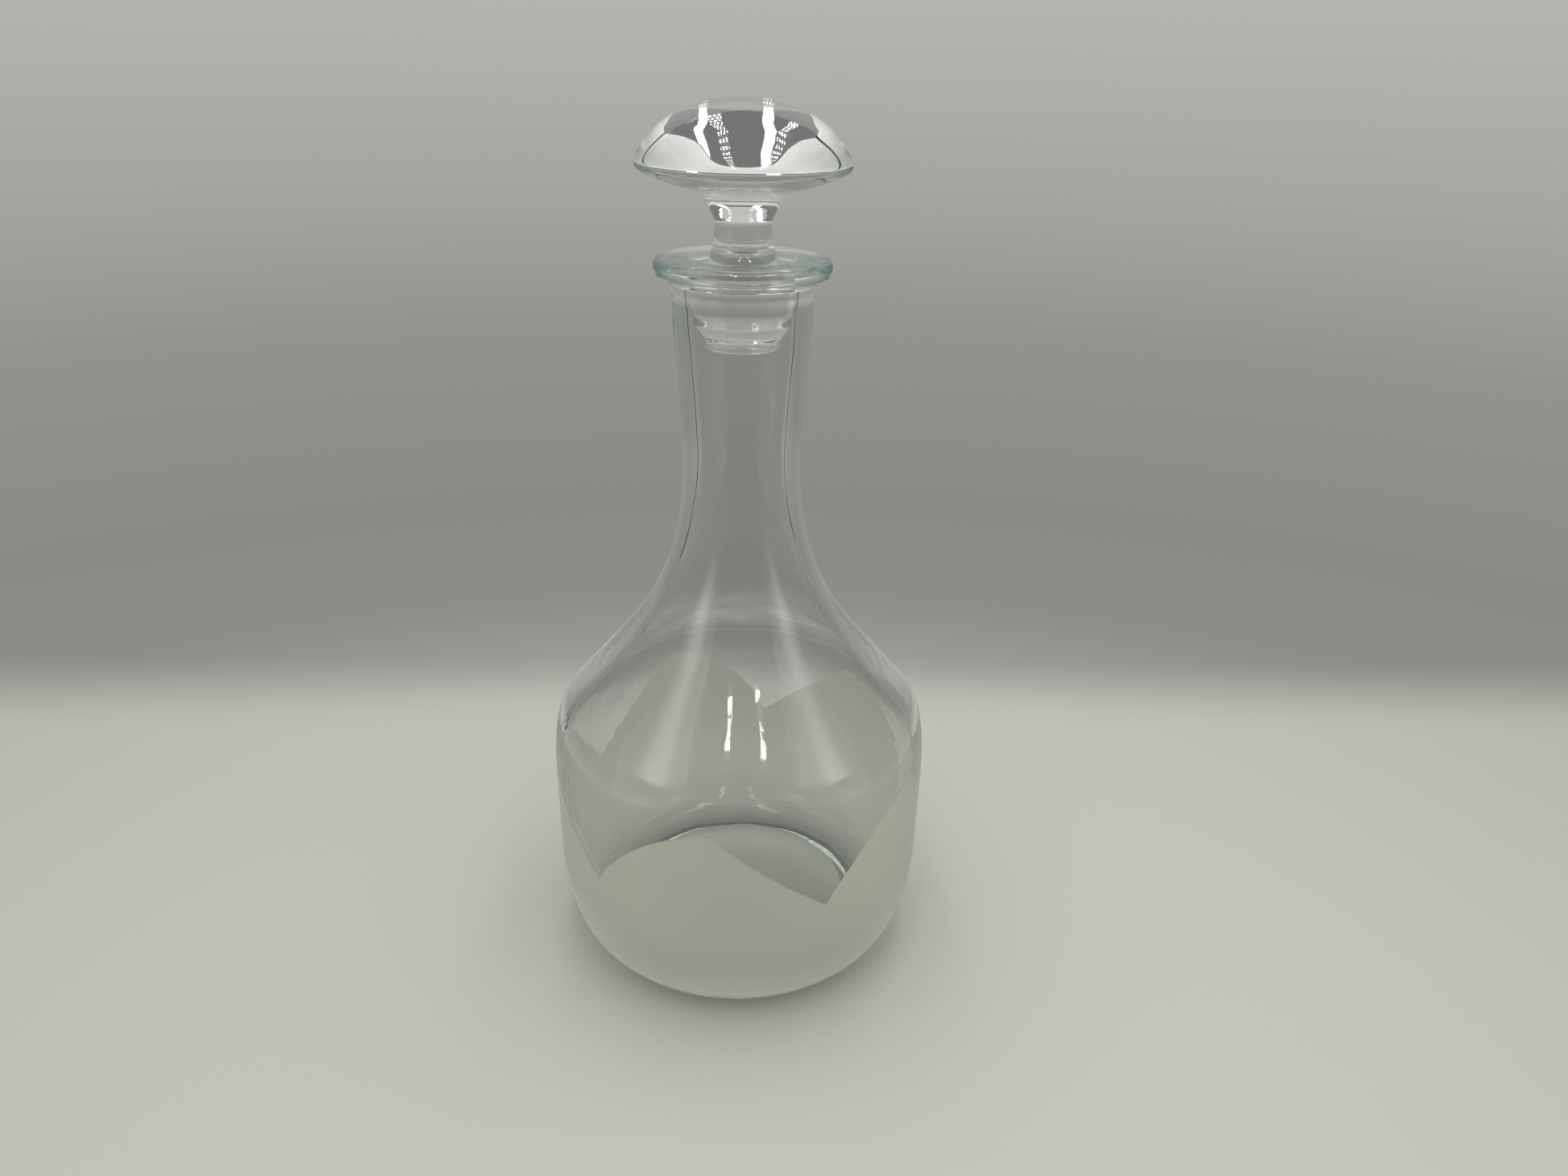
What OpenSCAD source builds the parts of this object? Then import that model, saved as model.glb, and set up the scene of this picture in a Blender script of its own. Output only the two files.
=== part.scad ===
// Wine decanter: a blown clear-glass vessel with a pouring collar, and a solid mushroom stopper.
// Every piece is turned about the Z axis. The vessel stands on z = 0. Sizes are in millimetres.

/* [Body] */
// Radius of the ring that the decanter stands on
base_r = 47.8; // [38:0.1:56]
// Radius of the belly where its lower and upper curves meet
belly_r = 62.8; // [52:0.1:76]
// Height where those two curves meet
belly_z = 43; // [34:0.5:54]
// Height from there to the shoulder, where the wall turns from bulging to hollow
shoulder_rise = 48.5; // [38:0.5:60]
// How far the belly has drawn in at the shoulder
shoulder_in = 4; // [2:0.5:7]
// Lean of the wall at the shoulder, in degrees from upright
shoulder_lean = 40.5; // [34:0.5:46]

/* [Neck] */
// Height of the hollow sweep from the shoulder to the waist of the neck
sweep_h = 86.5; // [72:0.5:104]
// Outer radius of the neck at its waist
waist_r = 18.1; // [15:0.1:21.5]
// Length of the neck from its waist to the mouth
neck_len = 58.5; // [48:0.5:71]
// Outer radius of the neck under the collar
lip_r = 21; // [20:0.1:24]

/* [Glass thickness] */
// Thickness of the floor at its edge
floor_t = 11; // [8:0.5:14]
// Height of the low dome in the middle of the floor
floor_dome = 2; // [0.5:0.5:4]
// Radius of the flat part of the floor, inside its rounded corner
floor_r = 38; // [30:0.5:44]
// Wall where the belly's two curves meet
belly_wall = 3.4; // [2:0.1:5]
// Wall at the shoulder
shoulder_wall = 4.2; // [2.5:0.1:5.5]
// Wall at the waist of the neck
waist_wall = 5.6; // [4.6:0.1:6.4]

/* [Foot] */
// Width of the flat ring that touches the table
ring_w = 3; // [2:0.5:5]
// Depth of the shallow hollow under the base
punt_h = 3.5; // [1:0.5:6]

/* [Collar] */
// Outer radius of the pouring collar
collar_r = 26.3; // [25.5:0.1:31]
// Thickness of the collar at its round edge
collar_t = 4.5; // [3.5:0.1:5.5]
// Height of the hollow fillet between the collar and the neck
collar_fillet = 3.7; // [2:0.1:4.5]

/* [Ground joint] */
// Radius of the tapered socket at the mouth
socket_r = 15.6; // [14.5:0.1:16.6]
// Length of the tapered socket
socket_len = 17; // [14:0.5:20]
// Drop in radius for each millimetre of depth: 0.05 is the usual 1 in 10 on diameter
joint_taper = 0.05; // [0.03:0.005:0.06]
// Radial gap between the plug and its socket
joint_gap = 0.05; // [0.02:0.01:0.09]
// Depth of the top of the plug's ground face below the mouth
plug_sink = 4; // [3:0.5:6]
// Length of the rounded nose below the ground face
nose_len = 8.5; // [6:0.5:11]
// Radius of the flat end of the plug
nose_r = 11.4; // [9:0.1:12.4]

/* [Stopper] */
// Radius of the stem at its waist
stem_r = 8.35; // [7:0.05:9.5]
// Radius of the ring that the stem stands on
stem_ring_r = 9; // [8:0.1:10.5]
// Height of that ring above the mouth
ring_rise = 3.2; // [2:0.1:5]
// Height of the waist of the stem above the mouth
stem_rise = 9.4; // [8:0.1:12]
// Height of the seam between the stem and the knob above the mouth
seam_rise = 12.8; // [12:0.1:15]
// Radius of the stopper at that seam
seam_r = 9.6; // [8.5:0.1:10.5]
// Radius of the knob at its rim
knob_r = 31; // [25:0.5:38]
// Height of the knob from the seam to its crown
knob_h = 30.7; // [26:0.1:37]
// Drop from the crown to the rim of the knob
crown_drop = 18; // [15:0.5:20]
// Radius where the crown rolls over into the side of the knob
crown_r = 24; // [19:0.5:28]
// Drop from the crown to that roll
roll_drop = 7.8; // [5:0.2:9.4]
// Height of the bell between the seam and the underside of the knob
bell_h = 4.9; // [3.7:0.1:6.1]
// Radius where the bell meets the underside
bell_r = 13; // [11:0.1:15]

/* [Hidden] */
$fn = 96;

// Number of steps on a long curve and on a small round
fine = 14;
small = 8;

// Heights that the pieces share
shoulder_z = belly_z + shoulder_rise;
waist_z = shoulder_z + sweep_h;
mouth_z = waist_z + neck_len;
collar_z = mouth_z - collar_t;
lip_z = collar_z - collar_fillet;
socket_z = mouth_z - socket_len;
seam_z = mouth_z + seam_rise;
crown_z = seam_z + knob_h;

// Rounds: the foot ring, the mouth, the edge of the plug, and the ring on the stem
foot_round = 0.7;
mouth_round = 0.8;
edge_round = 1;
ring_round = 0.5;

// Unit vectors up the wall and out of it at the shoulder
up_wall = [-sin(shoulder_lean), cos(shoulder_lean)];
out_wall = [cos(shoulder_lean), sin(shoulder_lean)];

// The cubic curve from a to d that leaves towards b and arrives from c, without its first point
function curve(a, b, c, d, steps = fine) =
    [for (i = [1:steps]) let (t = i / steps, u = 1 - t)
        u * u * u * a + 3 * u * u * t * b + 3 * u * t * t * c + t * t * t * d];

// A quarter of an ellipse from a to b. It leaves a along Z when turn is 0, and along R when turn is 1
function quarter(a, b, turn, steps = small) =
    [for (i = [1:steps]) let (w = 90 * i / steps, s = sin(w), c = 1 - cos(w))
        [a.x + (b.x - a.x) * (turn == 0 ? c : s), a.y + (b.y - a.y) * (turn == 0 ? s : c)]];

// Radius of the tapered socket at a depth below the mouth
function socket_at(depth) = socket_r - joint_taper * depth;

// The vessel's outer wall, from the foot ring up to where the collar starts
foot = [base_r - foot_round, 0];
heel = [base_r, foot_round];
belly = [belly_r, belly_z];
shoulder = [belly_r - shoulder_in, shoulder_z];
waist = [waist_r, waist_z];
lip = [lip_r, lip_z];
outer_wall = concat(
    [foot],
    quarter(foot, heel, 1),
    curve(heel, heel + 0.48 * (belly_r - base_r) * [1, 1] / sqrt(2), belly - [0, 0.8 * belly_z], belly),
    curve(belly, belly + [0, 0.46 * shoulder_rise], shoulder - 0.18 * shoulder_rise * up_wall, shoulder),
    curve(shoulder, shoulder + 0.45 * sweep_h * up_wall, waist - [0, 0.5 * sweep_h], waist),
    curve(waist, waist + [0, 0.28 * (lip_z - waist_z)], lip - [0, 0.3 * (lip_z - waist_z)], lip));

// The cavity, from the middle of the floor up to the mouth
floor_mid = [0, floor_t + floor_dome];
floor_edge = [floor_r, floor_t];
in_belly = belly - [belly_wall, 0];
in_shoulder = shoulder - shoulder_wall * out_wall;
in_waist = waist - [waist_wall, 0];
in_socket = [socket_at(socket_len), socket_z];
in_mouth = [socket_at(mouth_round), mouth_z - mouth_round];
corner_w = in_belly.x - floor_r;
corner_h = belly_z - floor_t;
cavity = concat(
    [floor_mid],
    curve(floor_mid, floor_mid + [0.4 * floor_r, 0], floor_edge - [0.4 * floor_r, 0], floor_edge),
    curve(floor_edge, floor_edge + [0.62 * corner_w, 0], in_belly - [0, 0.78 * corner_h], in_belly),
    curve(in_belly, in_belly + [0, 0.46 * shoulder_rise],
        in_shoulder - 0.16 * shoulder_rise * up_wall, in_shoulder),
    curve(in_shoulder, in_shoulder + 0.45 * sweep_h * up_wall, in_waist - [0, 0.42 * sweep_h], in_waist),
    curve(in_waist, in_waist + [0, 0.3 * (socket_z - waist_z)],
        in_socket - [joint_taper, 1] * 0.3 * (socket_z - waist_z), in_socket),
    [in_mouth],
    quarter(in_mouth, [in_mouth.x + mouth_round, mouth_z], 0));

// The hollow under the base, from its middle out to the inside of the foot ring
punt_mid = [0, punt_h];
punt_edge = [base_r - ring_w, 0];
punt = concat(
    [punt_mid],
    curve(punt_mid, punt_mid + [0.5 * punt_edge.x, 0], punt_edge + [-0.12 * punt_edge.x, 0.6 * punt_h],
        punt_edge));

function reversed(points) = [for (i = [len(points) - 1:-1:0]) points[i]];

module vessel() {
    color([0.84, 0.9, 0.89, 0.45])
        rotate_extrude()
            polygon(concat(punt, outer_wall, [[lip_r, mouth_z]], reversed(cavity)));
}

// The collar is a ring of glass around the end of the neck, rounded at its edge
module lip_collar() {
    round_r = collar_t / 2;
    under = [collar_r - round_r, collar_z];
    edge = [collar_r, collar_z + round_r];
    over = [collar_r - round_r, mouth_z];
    fillet = [min(lip_r + collar_fillet, under.x), collar_z];
    color([0.74, 0.86, 0.86, 0.6])
        rotate_extrude()
            polygon(concat(
                [lip],
                quarter(lip, fillet, 0),
                [under],
                quarter(under, edge, 1),
                quarter(edge, over, 0),
                [[lip_r, mouth_z]]));
}

// The peg is the ground plug and the stem above it, up to the seam under the knob
module stopper_peg() {
    nose_end = [0, socket_z - nose_len];
    nose_edge = [nose_r, nose_end.y + edge_round];
    ground_low = [socket_at(socket_len) - joint_gap, socket_z];
    ground_high = [socket_at(plug_sink) - joint_gap, mouth_z - plug_sink];
    plug_top = ground_high + [-edge_round, edge_round];
    ring_low = [stem_ring_r, mouth_z + ring_rise];
    ring_high = [stem_ring_r - ring_round, ring_low.y + 2 * ring_round];
    flare_w = plug_top.x - ring_low.x;
    stem = [stem_r, mouth_z + stem_rise];
    seam = [seam_r, seam_z];
    color([0.88, 0.94, 0.93, 0.45])
        rotate_extrude()
            polygon(concat(
                [nose_end, [nose_r - edge_round, nose_end.y]],
                quarter([nose_r - edge_round, nose_end.y], nose_edge, 1),
                curve(nose_edge, nose_edge + [0, 0.4 * nose_len],
                    ground_low - [0.15 * nose_len * joint_taper, 0.3 * nose_len], ground_low),
                [ground_high],
                quarter(ground_high, plug_top, 0),
                curve(plug_top, plug_top - [0.4 * flare_w, 0],
                    ring_low + [0.12 * flare_w, -0.6 * (ring_low.y - plug_top.y)], ring_low),
                [ring_low + [0, ring_round]],
                quarter(ring_low + [0, ring_round], ring_high, 0),
                curve(ring_high, ring_high + [0, 0.4 * (stem.y - ring_high.y)],
                    stem - [0, 0.3 * (stem.y - ring_high.y)], stem),
                curve(stem, stem + [0, 0.5 * (seam.y - stem.y)], seam - [0.5 * (seam.x - stem.x),
                    0.35 * (seam.y - stem.y)], seam, small),
                [[0, seam_z]]));
}

// The knob is a solid mushroom: a bell on the seam, a coned underside, a round rim and a domed crown
module stopper_knob() {
    seam = [seam_r, seam_z];
    bell = [bell_r, seam_z + bell_h];
    rim = [knob_r, crown_z - crown_drop];
    roll = [crown_r, crown_z - roll_drop];
    crown = [0, crown_z];
    under_w = knob_r - bell_r;
    side = [rim.x - roll.x, rim.y - roll.y];
    roll_dir = [sin(46), -cos(46)];
    color([0.88, 0.94, 0.93, 0.45])
        rotate_extrude()
            polygon(concat(
                [[0, seam_z], seam],
                curve(seam, seam + [0.25 * bell_h, 0.4 * bell_h], bell - [0.5 * (bell_r - seam_r), 0], bell),
                curve(bell, bell + [0.42 * under_w, 0.37 * (rim.y - bell.y)],
                    rim - [0, 0.4 * (rim.y - bell.y)], rim),
                curve(rim, rim - [0, 0.3 * side.y], roll + 0.35 * side.x * roll_dir, roll),
                curve(roll, roll - 0.16 * crown_r * roll_dir, crown + [0.43 * crown_r, 0], crown)));
}

vessel();
lip_collar();
stopper_peg();
stopper_knob();
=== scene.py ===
import math

import bpy
from mathutils import Matrix, Vector


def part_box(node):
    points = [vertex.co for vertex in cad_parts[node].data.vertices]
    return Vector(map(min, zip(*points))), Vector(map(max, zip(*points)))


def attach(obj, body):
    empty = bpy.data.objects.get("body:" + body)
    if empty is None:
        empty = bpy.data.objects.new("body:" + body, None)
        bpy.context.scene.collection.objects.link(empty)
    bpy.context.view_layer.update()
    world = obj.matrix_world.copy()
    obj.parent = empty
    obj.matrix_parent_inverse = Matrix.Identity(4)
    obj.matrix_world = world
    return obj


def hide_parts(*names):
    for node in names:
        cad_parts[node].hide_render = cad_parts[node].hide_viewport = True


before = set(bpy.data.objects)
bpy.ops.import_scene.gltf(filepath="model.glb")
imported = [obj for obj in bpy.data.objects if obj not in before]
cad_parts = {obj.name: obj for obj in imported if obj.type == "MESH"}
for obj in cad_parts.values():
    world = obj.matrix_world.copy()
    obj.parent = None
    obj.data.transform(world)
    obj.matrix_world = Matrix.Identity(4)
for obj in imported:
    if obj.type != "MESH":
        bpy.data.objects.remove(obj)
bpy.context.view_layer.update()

# ---------------------------------------------------------------------------
# Camera
# It looks down at the decanter from the front, close in and with a short lens,
# so the knob is seen nearly level and the base from well above.
# ---------------------------------------------------------------------------
CAMERA_PLACE = Vector((0.0, -0.3515, 0.2913))
CAMERA_DOWN = math.radians(24.52)
CAMERA_TURN = math.radians(-2.3)
CAMERA_ROLL = math.radians(1.34)
SENSOR_WIDTH, FOCAL_LENGTH = 36, 27.05  # millimetres
NEAR_CLIP = 0.01
LIGHT_BOUNCES = 32

bpy.ops.object.select_all(action="DESELECT")
bpy.ops.object.camera_add()
camera = bpy.context.object
camera.name = "camera"
camera.data.sensor_width = SENSOR_WIDTH
camera.data.lens = FOCAL_LENGTH
camera.data.clip_start = NEAR_CLIP
camera.matrix_world = (
    Matrix.Translation(CAMERA_PLACE)
    @ Matrix.Rotation(CAMERA_TURN, 4, "Z")
    @ Matrix.Rotation(math.radians(90) - CAMERA_DOWN, 4, "X")
    @ Matrix.Rotation(CAMERA_ROLL, 4, "Z")
)
bpy.context.scene.camera = camera
bpy.context.scene.view_settings.view_transform = "Standard"
cycles = bpy.context.scene.cycles
cycles.caustics_reflective = cycles.caustics_refractive = False
# Thick clear glass turns light round inside itself many times before it comes out
cycles.max_bounces = cycles.glossy_bounces = cycles.transmission_bounces = LIGHT_BOUNCES

# ---------------------------------------------------------------------------
# Light tent
# A small tent of pale cloth in a grey room, piped in black at its corners, with two glowing
# flaps and two bars of LEDs under its roof. Only rays that the glass mirrors meet it: what
# is seen straight or through the glass is a plain backdrop of the same tones.
# ---------------------------------------------------------------------------
BACKDROP_TONES = (  # degrees above the horizon, tone
    (-90, "#c4c5bd"),
    (-32, "#bfc0b8"),
    (-30, "#b2b3ac"),
    (-28, "#9c9d97"),
    (-25, "#8d8e88"),
    (-20, "#8a8b86"),
    (-12, "#92938e"),
    (-6, "#a4a5a0"),
    (1, "#b2b3ad"),
    (20, "#cfd0cc"),
    (90, "#f2f2f0"),
)
WALL_TONES = (  # share of the tent's height, tone
    (0.0, "#c0c1bb"),
    (0.12, "#a0a19b"),
    (0.28, "#8a8b86"),
    (0.42, "#9a9b96"),
    (0.6, "#b9bab5"),
    (0.8, "#e2e3df"),
    (0.995, "#fbfbf9"),
    (1.0, "#7c7c7a"),
)
ROOM_TONE = "#7e8684"
PIPING_WIDTH, PIPING_TONE = 0.009, "#0c0c0c"
FLAP_MIDDLE, FLAP_REACH = -0.1, 0.11  # along the side walls from the tent's middle
FLAP_GLOW = 4.5  # what a flap adds at its middle, as a multiple of the wall's brightness
FLAP_TONES = (  # share of the tent's height, share of that glow
    (0.0, "#7c7c7c"),
    (0.16, "#000000"),
    (0.4, "#000000"),
    (0.5, "#ffffff"),
    (0.64, "#c8c8c8"),
    (0.85, "#000000"),
)
TENT_SIZE = Vector((0.6, 0.6, 0.5))
TENT_MIDDLE = Vector((0.03, -0.1, 0.25))
BAR_PLACES = (-0.062, 0.115)
BAR_SIZE = (0.03, 0.59)
BAR_DROP = 0.005  # below the roof
BAR_POWER = 0.54
LED_ROWS, LED_COLUMNS = 20, 3
LED_GLARE, GAP_GLARE = 4.5, 0.12  # one LED and the gaps, as multiples of the bar's brightness
LED_GAP, LED_BLUR = 0.33, 0.3  # as shares of a row's height


def colour(text):
    """The linear RGBA of an sRGB hex colour."""
    parts = [int(text[i : i + 2], 16) / 255 for i in (1, 3, 5)]
    return (*[c / 12.92 if c <= 0.04045 else ((c + 0.055) / 1.055) ** 2.4 for c in parts], 1)


def add(tree, kind, links=(), **settings):
    """Adds a node to tree with its settings, its values as sockets, and (socket, source) links."""
    node = tree.nodes.new("ShaderNode" + kind)
    sockets = settings.pop("sockets", {})
    for key, value in settings.items():
        setattr(node, key, value)
    for key, value in sockets.items():
        node.inputs[key].default_value = value
    for key, source in links:
        tree.links.new(source, node.inputs[key])
    return node


def set_stops(ramp, stops):
    """Gives a new colour ramp its stops, as (position, hex colour) pairs from low to high."""
    for index, (position, tone) in enumerate(stops):
        stop = ramp.elements[index] if index < 2 else ramp.elements.new(position)
        stop.position = position
        stop.color = colour(tone)


world = bpy.data.worlds.new("plain_backdrop")
world.use_nodes = True
bpy.context.scene.world = world
tree = world.node_tree
tree.nodes.clear()
direction = add(tree, "TexCoord")
parts = add(tree, "SeparateXYZ", [("Vector", direction.outputs["Generated"])])
height = add(tree, "Math", [(0, parts.outputs["Z"])], operation="ARCSINE")
share = add(
    tree,
    "MapRange",
    [("Value", height.outputs[0])],
    sockets={"From Min": -math.pi / 2, "From Max": math.pi / 2},
)
tones = add(tree, "ValToRGB", [("Fac", share.outputs[0])])
set_stops(tones.color_ramp, [((degrees + 90) / 180, tone) for degrees, tone in BACKDROP_TONES])
path = add(tree, "LightPath")
backdrop = add(tree, "Background", [("Color", tones.outputs["Color"])])
room = add(tree, "Background", sockets={"Color": colour(ROOM_TONE)})
seen = add(
    tree,
    "MixShader",
    [(0, path.outputs["Glossy Depth"]), (1, backdrop.outputs[0]), (2, room.outputs[0])],
)
add(tree, "OutputWorld", [("Surface", seen.outputs[0])])

bpy.ops.object.select_all(action="DESELECT")
bpy.ops.mesh.primitive_cube_add(size=1, location=TENT_MIDDLE)
tent = bpy.context.object
tent.name = tent.data.name = "light_tent"
tent.scale = TENT_SIZE
bpy.ops.object.transform_apply(location=True, rotation=False, scale=True)
bpy.ops.object.mode_set(mode="EDIT")
bpy.ops.mesh.select_mode(type="FACE")
bpy.ops.mesh.select_all(action="DESELECT")
bpy.ops.object.mode_set(mode="OBJECT")
for face in tent.data.polygons:
    face.select = face.normal.z < -0.5 or face.normal.y < -0.5
bpy.ops.object.mode_set(mode="EDIT")
bpy.ops.mesh.delete(type="FACE")
bpy.ops.mesh.select_mode(type="VERT")
bpy.ops.object.mode_set(mode="OBJECT")
tent_cloth = bpy.data.materials.new("tent_cloth")
tent_cloth.use_nodes = True
tree = tent_cloth.node_tree
tree.nodes.clear()
place = add(tree, "TexCoord")
parts = add(tree, "SeparateXYZ", [("Vector", place.outputs["Object"])])
share = add(tree, "MapRange", [("Value", parts.outputs["Z"])], sockets={"From Max": TENT_SIZE.z})
tones = add(tree, "ValToRGB", [("Fac", share.outputs[0])])
set_stops(tones.color_ramp, WALL_TONES)
path = add(tree, "LightPath")
from_middle = add(
    tree,
    "VectorMath",
    [(0, place.outputs["Object"])],
    operation="SUBTRACT",
    sockets={1: TENT_MIDDLE},
)
apart = add(tree, "VectorMath", [(0, from_middle.outputs[0])], operation="ABSOLUTE")
parts = add(tree, "SeparateXYZ", [("Vector", apart.outputs[0])])
corner = add(
    tree, "Math", [(0, parts.outputs["X"]), (1, parts.outputs["Y"])], operation="MINIMUM"
)
piping = add(
    tree,
    "Math",
    [(0, corner.outputs[0])],
    operation="GREATER_THAN",
    sockets={1: TENT_SIZE.x / 2 - PIPING_WIDTH},
)
sewn = add(
    tree,
    "Mix",
    [("Factor", piping.outputs[0]), (6, tones.outputs["Color"])],
    data_type="RGBA",
    sockets={7: colour(PIPING_TONE)},
)
along_wall = add(tree, "SeparateXYZ", [("Vector", from_middle.outputs[0])])
from_flap = add(
    tree,
    "Math",
    [(0, along_wall.outputs["Y"])],
    operation="SUBTRACT",
    sockets={1: FLAP_MIDDLE},
)
off_flap = add(tree, "Math", [(0, from_flap.outputs[0])], operation="ABSOLUTE")
flap_glow = add(
    tree,
    "MapRange",
    [("Value", off_flap.outputs[0])],
    interpolation_type="SMOOTHSTEP",
    sockets={"From Min": FLAP_REACH, "From Max": 0, "To Min": 0, "To Max": FLAP_GLOW},
)
flap_height = add(tree, "ValToRGB", [("Fac", share.outputs[0])])
set_stops(flap_height.color_ramp, FLAP_TONES)
glow = add(
    tree,
    "Math",
    [(0, flap_glow.outputs[0]), (1, flap_height.outputs["Color"])],
    operation="MULTIPLY_ADD",
    sockets={2: 1},
)
cloth = add(tree, "Emission", [("Color", sewn.outputs[2]), ("Strength", glow.outputs[0])])
unseen = add(tree, "BsdfTransparent")
lit = add(
    tree,
    "MixShader",
    [(0, path.outputs["Glossy Depth"]), (1, unseen.outputs[0]), (2, cloth.outputs[0])],
)
add(tree, "OutputMaterial", [("Surface", lit.outputs[0])])
tent.data.materials.append(tent_cloth)

for side, x in zip(("left", "right"), BAR_PLACES):
    bpy.ops.object.light_add(type="AREA", location=(x, TENT_MIDDLE.y, TENT_SIZE.z - BAR_DROP))
    bar = bpy.context.object
    bar.name = "led_bar_" + side
    bar.data.shape = "RECTANGLE"
    bar.data.size, bar.data.size_y = BAR_SIZE
    bar.data.energy = BAR_POWER
    bar.visible_camera = False
    # The glass mirrors a bar's single LEDs, in staggered rows; all else gets its even light
    bar.data.use_nodes = True
    tree = bar.data.node_tree
    tree.nodes.clear()
    place = add(tree, "NewGeometry")
    rows = add(
        tree,
        "VectorMath",
        [(0, place.outputs["Parametric"])],
        operation="MULTIPLY",
        sockets={1: (LED_COLUMNS, LED_ROWS, 0)},
    )
    leds = add(
        tree,
        "TexBrick",
        [("Vector", rows.outputs[0])],
        sockets={
            "Scale": 1,
            "Mortar Size": LED_GAP,
            "Mortar Smooth": LED_BLUR,
            "Brick Width": 1,
            "Row Height": 1,
            "Color1": (LED_GLARE,) * 3 + (1,),
            "Color2": (LED_GLARE,) * 3 + (1,),
            "Mortar": (GAP_GLARE,) * 3 + (1,),
        },
    )
    path = add(tree, "LightPath")
    glare = add(
        tree,
        "Mix",
        [("Factor", path.outputs["Glossy Depth"]), (7, leds.outputs["Color"])],
        data_type="RGBA",
        sockets={6: (1, 1, 1, 1)},
    )
    light = add(tree, "Emission", [("Color", glare.outputs[2])])
    add(tree, "OutputLight", [("Surface", light.outputs[0])])

# ---------------------------------------------------------------------------
# Table
# A pale matt board, which takes the decanter's soft shadow. It fades into the backdrop
# behind the decanter and far out to the sides, and the glass doesn't mirror it.
# ---------------------------------------------------------------------------
TABLE_SIZE, TABLE_MIDDLE = (4, 2.2), -0.9
BOARD_TONE = "#c6c6bd"
BACK_FADE = (0.12, 0.2)  # metres behind the decanter
FAR_FADE = (1.1, 1.9)  # metres from the decanter all round

bpy.ops.object.select_all(action="DESELECT")
bpy.ops.mesh.primitive_plane_add(size=1, location=(0, TABLE_MIDDLE, 0))
table = bpy.context.object
table.name = table.data.name = "table"
table.scale = (*TABLE_SIZE, 1)
bpy.ops.object.transform_apply(location=True, rotation=False, scale=True)
matt_board = bpy.data.materials.new("matt_board")
matt_board.use_nodes = True
tree = matt_board.node_tree
tree.nodes.clear()
place = add(tree, "TexCoord")
parts = add(tree, "SeparateXYZ", [("Vector", place.outputs["Object"])])
apart = add(tree, "VectorMath", [(0, place.outputs["Object"])], operation="LENGTH")
fades = []
for source, (near, far) in (
    (parts.outputs["Y"], BACK_FADE),
    (apart.outputs["Value"], FAR_FADE),
):
    fades.append(
        add(
            tree,
            "MapRange",
            [("Value", source)],
            interpolation_type="SMOOTHSTEP",
            sockets={"From Min": near, "From Max": far},
        )
    )
edge = add(
    tree, "Math", [(0, fades[0].outputs[0]), (1, fades[1].outputs[0])], operation="MAXIMUM"
)
path = add(tree, "LightPath")
faded = add(
    tree,
    "Math",
    [(0, edge.outputs[0]), (1, path.outputs["Glossy Depth"])],
    operation="SUBTRACT",
)
board = add(
    tree,
    "BsdfPrincipled",
    sockets={"Base Color": colour(BOARD_TONE), "Roughness": 0.85, "Specular IOR Level": 0.2},
)
gone = add(tree, "BsdfTransparent")
shown = add(
    tree,
    "MixShader",
    [(0, faded.outputs[0]), (1, board.outputs[0]), (2, gone.outputs[0])],
)
add(tree, "OutputMaterial", [("Surface", shown.outputs[0])])
table.data.materials.append(matt_board)

# ---------------------------------------------------------------------------
# Vessel
# The decanter's body, neck and pouring collar are one piece of clear soda
# glass, blown in a mould and tooled at the mouth. The heights of its mouth and
# lip and the collar's radius come from the frame, and its other sizes are here.
# ---------------------------------------------------------------------------
TURN_STEPS = 192  # round the axis
LONG_STEPS, ROUND_STEPS = 26, 9  # along a long curve and round an edge
SMOOTH_ANGLE = math.radians(35)
QUARTER_ROUND = 0.5523  # the reach of a quarter circle's handles, as a share of its radius

mouth_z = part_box("vessel")[1].z
collar_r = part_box("lip_collar")[1].x
lip_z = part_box("lip_collar")[0].z
foot_r, foot_round, ring_w = 0.0478, 0.0007, 0.003  # the ring that it stands on
punt_h = 0.0035  # the hollow inside that ring
belly = Vector((0.06277, 0, 0.043))
shoulder = Vector((0.0588, 0, 0.0915))
waist = Vector((0.0181, 0, 0.178))
lean = math.radians(40.5)  # of the shoulder, inwards from upright
neck_top = Vector((0.021, 0, lip_z))
flare_h, flare_w = 0.0055, 0.0009  # the neck's last turn outwards into the collar
collar_t = 0.0045
collar_fillet = mouth_z - collar_t - lip_z
belly_wall, shoulder_wall, waist_wall = 0.0034, 0.0042, 0.0056
floor_r, floor_t, floor_dome = 0.038, 0.011, 0.002
socket_r, socket_len, socket_taper, mouth_round = 0.0156, 0.017, 0.05, 0.0008


def curve(a, b, c, d, steps=LONG_STEPS):
    """Points along a cubic curve, without its first: from a, towards b, to d, arriving from c."""
    points = []
    for i in range(1, steps + 1):
        t = i / steps
        u = 1 - t
        points.append(a * u**3 + b * 3 * u * u * t + c * 3 * u * t * t + d * t**3)
    return points


def rounded(a, d, upright):
    """Points along a quarter round from a to d, without its first. It leaves a upright or level."""
    bow = QUARTER_ROUND * (d - a)
    if upright:
        return curve(a, a + Vector((0, 0, bow.z)), d - Vector((bow.x, 0, 0)), d, ROUND_STEPS)
    return curve(a, a + Vector((bow.x, 0, 0)), d - Vector((0, 0, bow.z)), d, ROUND_STEPS)


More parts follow.
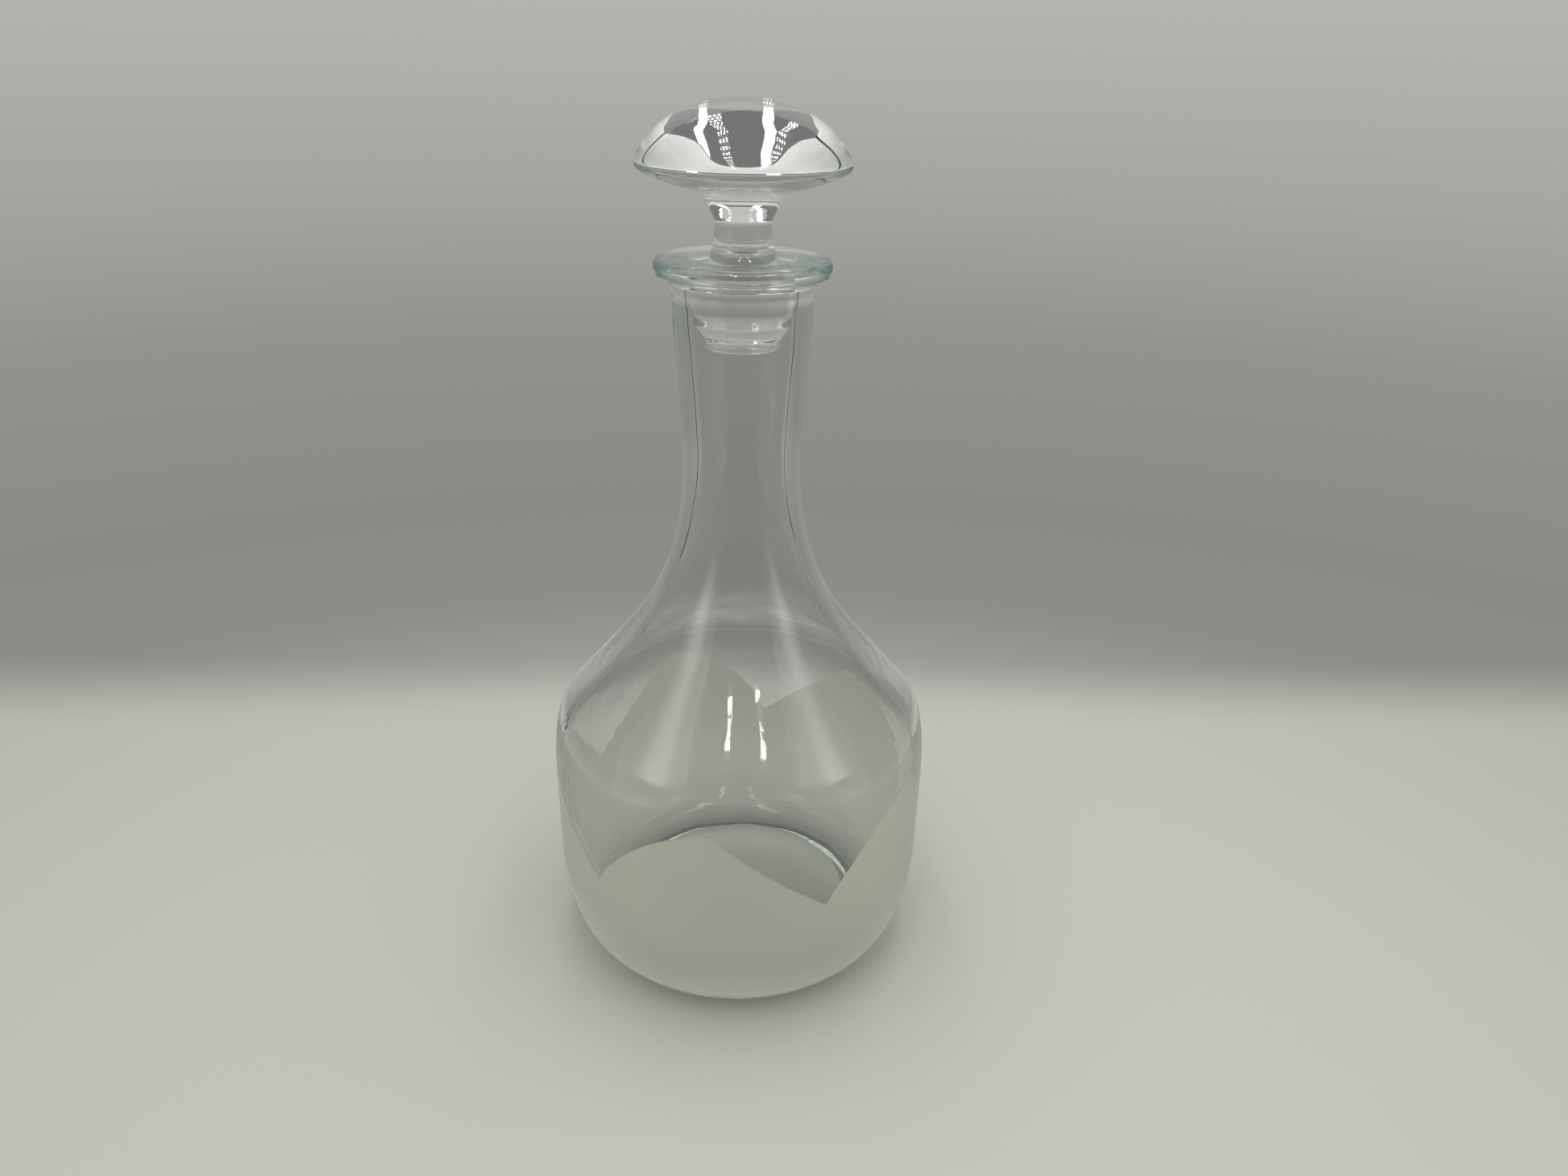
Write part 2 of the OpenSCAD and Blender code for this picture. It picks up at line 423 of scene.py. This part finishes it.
def spin_glass(name, outline):
    """Extrudes one vertex along an outline from axis to axis, and spins it into a closed shell."""
    bpy.ops.object.select_all(action="DESELECT")
    bpy.ops.mesh.primitive_plane_add(size=0.001)
    piece = bpy.context.object
    piece.name = piece.data.name = name
    bpy.ops.object.mode_set(mode="EDIT")
    bpy.ops.mesh.select_all(action="SELECT")
    bpy.ops.mesh.merge(type="CENTER")
    bpy.ops.transform.translate(value=outline[0])
    for start, end in zip(outline, outline[1:]):
        bpy.ops.mesh.extrude_region_move(TRANSFORM_OT_translate={"value": end - start})
    bpy.ops.mesh.select_all(action="SELECT")
    bpy.ops.mesh.spin(steps=TURN_STEPS, angle=math.tau, center=(0, 0, 0), axis=(0, 0, 1))
    bpy.ops.mesh.select_all(action="SELECT")
    bpy.ops.mesh.remove_doubles(threshold=1e-6)
    bpy.ops.mesh.normals_make_consistent(inside=False)
    bpy.ops.object.mode_set(mode="OBJECT")
    bpy.ops.object.shade_smooth_by_angle(angle=SMOOTH_ANGLE)
    return piece


up_wall = Vector((-math.sin(lean), 0, math.cos(lean)))  # up along the shoulder's slope
out_wall = Vector((math.cos(lean), 0, math.sin(lean)))  # square out of it
UP, OUT = Vector((0, 0, 1)), Vector((1, 0, 0))

punt_mid = UP * punt_h
punt_edge = OUT * (foot_r - ring_w)
foot = OUT * (foot_r - foot_round)
heel = OUT * foot_r + UP * foot_round
heel_reach = 0.48 * (belly.x - foot_r) / math.sqrt(2)
rise = shoulder.z - belly.z
sweep = waist.z - shoulder.z
neck = neck_top.z - waist.z
neck_flare = neck_top - UP * flare_h
neck_top += OUT * flare_w

# From the middle of the base up the outside to the lip, and down the inside to the floor. The
# plain numbers are how far each curve's handles reach, as shares of its height or width.
outline = [punt_mid]
outline += curve(
    punt_mid,
    punt_mid + punt_edge * 0.5,
    punt_edge * 0.88 + UP * 0.6 * punt_h,
    punt_edge,
)
outline += [foot] + rounded(foot, heel, upright=False)
outline += curve(heel, heel + (OUT + UP) * heel_reach, belly - UP * 0.8 * belly.z, belly)
outline += curve(belly, belly + UP * 0.46 * rise, shoulder - up_wall * 0.18 * rise, shoulder)
outline += curve(shoulder, shoulder + up_wall * 0.45 * sweep, waist - UP * 0.5 * sweep, waist)
outline += curve(waist, waist + UP * 0.28 * neck, neck_flare - UP * 0.3 * neck, neck_flare)
outline += curve(
    neck_flare,
    neck_flare + UP * 0.5 * flare_h,
    neck_top - UP * 0.25 * flare_h,
    neck_top,
    ROUND_STEPS,
)

collar_round = collar_t / 2
collar_z = mouth_z - collar_t
fillet = neck_top + OUT * collar_fillet + UP * collar_fillet
fillet.z = collar_z
under = OUT * (collar_r - collar_round) + UP * collar_z
edge = OUT * collar_r + UP * (collar_z + collar_round)
over = under + UP * collar_t
outline += rounded(neck_top, fillet, upright=True) + [under]
outline += rounded(under, edge, upright=False) + rounded(edge, over, upright=True)


def socket_at(depth):
    """Radius of the tapered socket at a depth below the mouth."""
    return socket_r - socket_taper * depth


in_mouth = OUT * socket_at(mouth_round) + UP * (mouth_z - mouth_round)
mouth = in_mouth + (OUT + UP) * mouth_round
in_socket = OUT * socket_at(socket_len) + UP * (mouth_z - socket_len)
in_waist = waist - OUT * waist_wall
in_shoulder = shoulder - out_wall * shoulder_wall
in_belly = belly - OUT * belly_wall
floor_edge = OUT * floor_r + UP * floor_t
floor_mid = UP * (floor_t + floor_dome)
throat = in_socket.z - in_waist.z
corner_w, corner_h = in_belly.x - floor_r, belly.z - floor_t

outline += [mouth] + rounded(mouth, in_mouth, upright=False)
outline += [in_socket]
outline += curve(
    in_socket,
    in_socket - (OUT * socket_taper + UP) * 0.3 * throat,
    in_waist + UP * 0.3 * throat,
    in_waist,
)
outline += curve(
    in_waist,
    in_waist - UP * 0.42 * sweep,
    in_shoulder + up_wall * 0.45 * sweep,
    in_shoulder,
)
outline += curve(
    in_shoulder,
    in_shoulder - up_wall * 0.16 * rise,
    in_belly + UP * 0.46 * rise,
    in_belly,
)
outline += curve(
    in_belly,
    in_belly - UP * 0.78 * corner_h,
    floor_edge + OUT * 0.62 * corner_w,
    floor_edge,
)
outline += curve(
    floor_edge,
    floor_edge - OUT * 0.4 * floor_r,
    floor_mid + OUT * 0.4 * floor_r,
    floor_mid,
)
vessel = spin_glass("vessel_glass", outline)

# Fire-polished soda glass: colourless, with a faint blue-green cast where it is thick
GLASS_IOR = 1.52
CLEARNESS = "#f4f4f4"  # what each face lets through
LAMP_CLEARNESS = "#f2f4f3"  # the same for the lamps' light, so that the shadow stays pale
TINT_DENSITY = 3.2
BLOWN_CAST, BLOWN_WAVE = "#b9ebe8", 0.00025  # the wave's height in metres
RIPPLE_SIZE = (0.016, 0.016, 0.03)  # metres: the slow waves that blowing and pressing leave
STREAK_SIZE, STREAK_SHARE = (0.002, 0.002, 0.06), 0.05  # fine drawn streaks, a small share as high


def clear_glass(name, cast, wave):
    """A clear glass with a faint cast and a hand-made ripple, wave metres high."""
    material = bpy.data.materials.new(name)
    material.use_nodes = True
    tree = material.node_tree
    tree.nodes.clear()
    glass = add(
        tree,
        "BsdfPrincipled",
        name="glass",
        sockets={
            "Base Color": colour(CLEARNESS),
            "Roughness": 0,
            "IOR": GLASS_IOR,
            "Transmission Weight": 1,
        },
    )
    place = add(tree, "TexCoord")
    relief = None
    for size, share in ((RIPPLE_SIZE, 1), (STREAK_SIZE, STREAK_SHARE)):
        repeats = [1 / length for length in size]
        drawn = add(
            tree,
            "VectorMath",
            [(0, place.outputs["Object"])],
            operation="MULTIPLY",
            sockets={1: repeats},
        )
        ripple = add(
            tree, "TexNoise", [("Vector", drawn.outputs[0])], sockets={"Scale": 1, "Detail": 1}
        )
        on_top_of = [("Normal", relief.outputs[0])] if relief else []
        relief = add(
            tree,
            "Bump",
            [("Height", ripple.outputs["Fac"])] + on_top_of,
            sockets={"Strength": 1, "Distance": wave * share},
        )
    tree.links.new(relief.outputs[0], glass.inputs["Normal"])
    to_lamps = add(
        tree, "BsdfTransparent", name="to_lamps", sockets={"Color": colour(LAMP_CLEARNESS)}
    )
    path = add(tree, "LightPath")
    both = add(
        tree,
        "MixShader",
        [
            (0, path.outputs["Is Shadow Ray"]),
            (1, glass.outputs[0]),
            (2, to_lamps.outputs[0]),
        ],
    )
    tint = add(
        tree,
        "VolumeAbsorption",
        sockets={"Color": colour(cast), "Density": TINT_DENSITY},
    )
    add(tree, "OutputMaterial", [("Surface", both.outputs[0]), ("Volume", tint.outputs[0])])
    return material


# The belly is sandblasted outside with a band of five rolling hills: each rises in a
# bulging curve from a sharp valley to its crest, then runs straight down to the next.
# Blasting leaves an even matt grey that blurs away what is behind it. Its upper edge is as
# crisp as the stencil that masked it, and its lower edge fades out short of the foot.
HILLS = 5
FIRST_VALLEY = math.radians(-46)  # bearing from the front, towards +X
HILL_EDGE = (  # degrees from a valley, height of the frost's edge in millimetres
    (0, 47.0),
    (6, 56.4),
    (17, 68.0),
    (24, 72.8),
    (32, 76.0),
    (37, 77.4),
    (54, 62.4),
    (72, 47.0),
)
HILL_CREST = 37  # degrees from a valley
EDGE_SPAN = 100  # millimetres: the height that the top of the edge's curve stands for
FROST_FOOT, FOOT_FADE, STENCIL_EDGE = 0.009, 0.0015, 0.0003
FROST_LIMIT = 0.09  # metres: above the crests, and below the neck and collar
FROST_ROUGHNESS, FROST_CLEARNESS = 0.85, 0.74
FROST_GREY, FROST_SHADE = "#ebe8df", "#c0c0b9"  # as seen, and what its shadow lets through

blown_glass = clear_glass("blown_soda_glass", BLOWN_CAST, BLOWN_WAVE)
vessel.data.materials.append(blown_glass)
tree = blown_glass.node_tree
place = add(tree, "TexCoord")
parts = add(tree, "SeparateXYZ", [("Vector", place.outputs["Object"])])
front = add(tree, "Math", [(0, parts.outputs["Y"])], operation="MULTIPLY", sockets={1: -1})
bearing = add(
    tree, "Math", [(0, parts.outputs["X"]), (1, front.outputs[0])], operation="ARCTAN2"
)
turned = add(
    tree,
    "Math",
    [(0, bearing.outputs[0])],
    operation="SUBTRACT",
    sockets={1: FIRST_VALLEY - math.tau},
)
hill = add(
    tree,
    "Math",
    [(0, turned.outputs[0])],
    operation="MODULO",
    sockets={1: math.tau / HILLS},
)
along = add(
    tree, "MapRange", [("Value", hill.outputs[0])], sockets={"From Max": math.tau / HILLS}
)
edge_curve = add(tree, "FloatCurve", [("Value", along.outputs[0])])
line = edge_curve.mapping.curves[0]
line.points[0].location = (0, HILL_EDGE[0][1] / EDGE_SPAN)
line.points[1].location = (1, HILL_EDGE[-1][1] / EDGE_SPAN)
for degrees, tall in HILL_EDGE[1:-1]:
    point = line.points.new(degrees * HILLS / 360, tall / EDGE_SPAN)
    if degrees == HILL_CREST:
        point.handle_type = "VECTOR"
edge_curve.mapping.update()
top = add(
    tree,
    "Math",
    [(0, edge_curve.outputs[0])],
    operation="MULTIPLY",
    sockets={1: EDGE_SPAN / 1000},
)
below = add(
    tree, "Math", [(0, top.outputs[0]), (1, parts.outputs["Z"])], operation="SUBTRACT"
)
under_hill = add(
    tree,
    "MapRange",
    [("Value", below.outputs[0])],
    interpolation_type="SMOOTHSTEP",
    sockets={"From Min": -STENCIL_EDGE, "From Max": STENCIL_EDGE},
)
over_foot = add(
    tree,
    "MapRange",
    [("Value", parts.outputs["Z"])],
    interpolation_type="SMOOTHSTEP",
    sockets={"From Min": FROST_FOOT - FOOT_FADE, "From Max": FROST_FOOT + FOOT_FADE},
)
band = add(
    tree, "Math", [(0, under_hill.outputs[0]), (1, over_foot.outputs[0])], operation="MULTIPLY"
)
outside = add(tree, "Attribute", attribute_name="outer_wall")
frost = add(
    tree, "Math", [(0, band.outputs[0]), (1, outside.outputs["Fac"])], operation="MULTIPLY"
)
matt = add(
    tree, "Math", [(0, frost.outputs[0])], operation="MULTIPLY", sockets={1: FROST_ROUGHNESS}
)
grey = add(
    tree,
    "Mix",
    [("Factor", frost.outputs[0])],
    data_type="RGBA",
    sockets={6: colour(CLEARNESS), 7: colour(FROST_GREY)},
)
tree.links.new(grey.outputs[2], tree.nodes["glass"].inputs["Base Color"])
# Seen through the glass, the blasted face only scatters what comes through it
side = add(tree, "NewGeometry")
from_outside = add(
    tree,
    "Math",
    [(0, frost.outputs[0]), (1, side.outputs["Backfacing"])],
    operation="SUBTRACT",
    use_clamp=True,
)
clearness = add(
    tree,
    "MapRange",
    [("Value", from_outside.outputs[0])],
    sockets={"To Min": 1, "To Max": FROST_CLEARNESS},
)
tree.links.new(clearness.outputs[0], tree.nodes["glass"].inputs["Transmission Weight"])
shade = add(
    tree,
    "Mix",
    [("Factor", frost.outputs[0])],
    data_type="RGBA",
    sockets={6: tree.nodes["to_lamps"].inputs["Color"].default_value, 7: colour(FROST_SHADE)},
)
tree.links.new(shade.outputs[2], tree.nodes["to_lamps"].inputs["Color"])
tree.links.new(matt.outputs[0], tree.nodes["glass"].inputs["Roughness"])
outer_wall = vessel.data.attributes.new("outer_wall", "FLOAT", "FACE")
for face in vessel.data.polygons:
    outward = face.normal.x * face.center.x + face.normal.y * face.center.y
    outer_wall.data[face.index].value = outward > 0 and face.center.z < FROST_LIMIT

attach(vessel, "decanter")
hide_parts("vessel", "lip_collar")

# ---------------------------------------------------------------------------
# Stopper
# A solid mushroom stopper pressed in one piece of clear glass: a tapered plug
# with a flat end, a short stem on a fine ring, and a wide domed knob.
# ---------------------------------------------------------------------------
plug_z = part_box("stopper_peg")[0].z
seam_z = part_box("stopper_knob")[0].z
crown_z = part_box("stopper_knob")[1].z
knob_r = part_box("stopper_knob")[1].x
nose_r, nose_round = 0.0114, 0.001  # the plug's flat end
socket_gap, plug_sink = 0.00005, 0.004
ring_r, ring_rise, ring_round = 0.009, 0.0032, 0.0005  # the fine ring above the mouth
stem_r, stem_rise, seam_r = 0.00835, 0.0094, 0.0096
bell_r, bell_h = 0.013, 0.0049  # where the knob's underside turns outwards
crown_drop, roll_drop, roll_r = 0.018, 0.0078, 0.024  # the dome's rim and its rolled shoulder
roll_lean = math.radians(46)
# Pressed soda glass: clearer than the blown glass, with a flatter wave from the polished mould
PRESSED_CAST, PRESSED_WAVE = "#dfe9e2", 0.0001

nose = UP * plug_z
nose_edge = OUT * nose_r + UP * (plug_z + nose_round)
ground_low = OUT * (socket_at(socket_len) - socket_gap) + UP * (mouth_z - socket_len)
ground_high = OUT * (socket_at(plug_sink) - socket_gap) + UP * (mouth_z - plug_sink)
plug_top = ground_high + (UP - OUT) * nose_round
nose_len = ground_low.z - plug_z
ring_low = OUT * ring_r + UP * (mouth_z + ring_rise)
ring_side = ring_low + UP * ring_round
ring_high = ring_side + (UP - OUT) * ring_round
step_w, step_h = plug_top.x - ring_r, ring_low.z - plug_top.z
stem = OUT * stem_r + UP * (mouth_z + stem_rise)
seam = OUT * seam_r + UP * seam_z
stem_h, bell_stem = stem.z - ring_high.z, seam - stem
bell = OUT * bell_r + UP * (seam_z + bell_h)
rim = OUT * knob_r + UP * (crown_z - crown_drop)
roll = OUT * roll_r + UP * (crown_z - roll_drop)
crown = UP * crown_z
roll_way = OUT * math.sin(roll_lean) - UP * math.cos(roll_lean)
under_w, under_h = rim.x - bell.x, rim.z - bell.z
side = rim - roll

# From the middle of the plug's end up to the top of the knob
outline = [nose, nose + OUT * (nose_r - nose_round)]
outline += rounded(outline[-1], nose_edge, upright=False)
outline += curve(
    nose_edge,
    nose_edge + UP * 0.4 * nose_len,
    ground_low - (OUT * 0.15 * socket_taper + UP * 0.3) * nose_len,
    ground_low,
)
outline += [ground_high] + rounded(ground_high, plug_top, upright=True)
outline += curve(
    plug_top,
    plug_top - OUT * 0.4 * step_w,
    ring_low + OUT * 0.12 * step_w - UP * 0.6 * step_h,
    ring_low,
)
outline += [ring_side] + rounded(ring_side, ring_high, upright=True)
outline += curve(ring_high, ring_high + UP * 0.4 * stem_h, stem - UP * 0.3 * stem_h, stem)
outline += curve(
    stem,
    stem + UP * 0.5 * bell_stem.z,
    seam - OUT * 0.5 * bell_stem.x - UP * 0.35 * bell_stem.z,
    seam,
)
outline += curve(
    seam,
    seam + (OUT * 0.25 + UP * 0.4) * bell_h,
    bell - OUT * 0.5 * (bell_r - seam_r),
    bell,
)
outline += curve(
    bell,
    bell + OUT * 0.42 * under_w + UP * 0.37 * under_h,
    rim - UP * 0.4 * under_h,
    rim,
)
outline += curve(rim, rim - UP * 0.3 * side.z, roll + roll_way * 0.35 * side.x, roll)
outline += curve(roll, roll - roll_way * 0.16 * roll_r, crown + OUT * 0.43 * roll_r, crown)
stopper = spin_glass("stopper_glass", outline)
stopper.data.materials.append(clear_glass("pressed_clear_glass", PRESSED_CAST, PRESSED_WAVE))
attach(stopper, "stopper")
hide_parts("stopper_peg", "stopper_knob")

bpy.context.view_layer.update()
